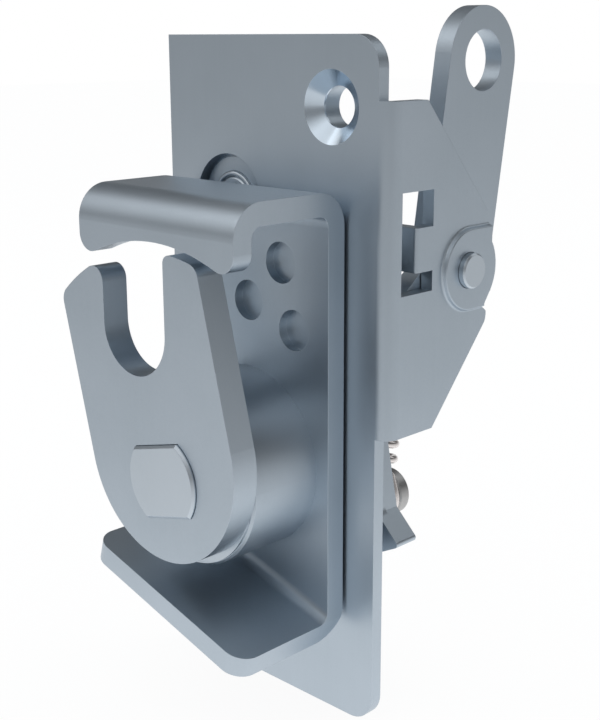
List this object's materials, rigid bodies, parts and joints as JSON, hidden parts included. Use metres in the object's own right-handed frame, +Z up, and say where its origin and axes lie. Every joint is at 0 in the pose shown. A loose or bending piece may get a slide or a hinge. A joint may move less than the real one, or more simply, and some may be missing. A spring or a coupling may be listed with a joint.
{
  "type": "rotary latch",
  "caption": "Rotary latch with a slotted rotor in a folded guard bracket, a bent mounting plate, and a side release lever whose eye frees the pawl.",
  "frame": {"origin": "on the rotor's axis, at the front face of the mounting plate", "axes": "+X to the right seen from the front, +Y back behind the plate, +Z up along the plate's long side"},
  "size_m": [0.0668, 0.0719, 0.1454],
  "materials": {
    "zinc_plated_steel": "satin zinc plating",
    "bright_steel": "smooth turned and plated",
    "spring_steel": "drawn wire"
  },
  "bodies": {
    "frame": {"mounting_plate": "zinc_plated_steel", "guard_bracket": "zinc_plated_steel", "bearing_hub": "zinc_plated_steel", "rotor_washer": "bright_steel", "inner_frame": "zinc_plated_steel", "rotor_spring_post": "bright_steel", "pawl_pivot_disc": "zinc_plated_steel", "pawl_pivot_bush": "bright_steel", "pawl_pivot_rivet": "bright_steel", "pawl_thrust_washer": "bright_steel", "pawl_rear_washer": "bright_steel", "spring_anchor_post": "bright_steel", "return_spring": "spring_steel", "lever_pivot_pin": "bright_steel", "lever_washer": "bright_steel", "lever_retaining_ring": "spring_steel"},
    "rotor": {"rotor_fork": "zinc_plated_steel", "rotor_shaft": "bright_steel", "ratchet_cam": "zinc_plated_steel", "cam_spring_pin": "bright_steel", "rotor_spring": "spring_steel", "spring_keeper_washer": "bright_steel", "shaft_retaining_ring": "spring_steel"},
    "pawl": {"release_pawl": "zinc_plated_steel", "pawl_spring_stud": "bright_steel"},
    "lever": {"release_lever": "zinc_plated_steel", "lever_drive_pin": "bright_steel"}
  },
  "joints": [
    {"name": "rotor_swing", "type": "hinge", "parent": "frame", "child": "rotor", "pos_m": [0, 0, 0], "axis": [0, -1, 0], "range_deg": [0, 60], "deforming": ["rotor_spring"]},
    {"name": "pawl_swing", "type": "hinge", "parent": "frame", "child": "pawl", "pos_m": [-0.0112, 0, 0.0522], "axis": [0, 1, 0], "range_deg": [0, 7.5], "deforming": ["return_spring"]},
    {"name": "lever_pull", "type": "hinge", "parent": "frame", "child": "lever", "pos_m": [0.0284, 0.0235, 0.0399], "axis": [1, 0, 0], "range_deg": [0, 22], "stiffness_Nm_per_rad": 0.05}
  ],
  "couplings": [
    {"joint": "pawl_swing", "follows": "rotor_swing", "ratio": 0.125},
    {"joint": "lever_pull", "follows": "rotor_swing", "ratio": 0.36667}
  ]
}
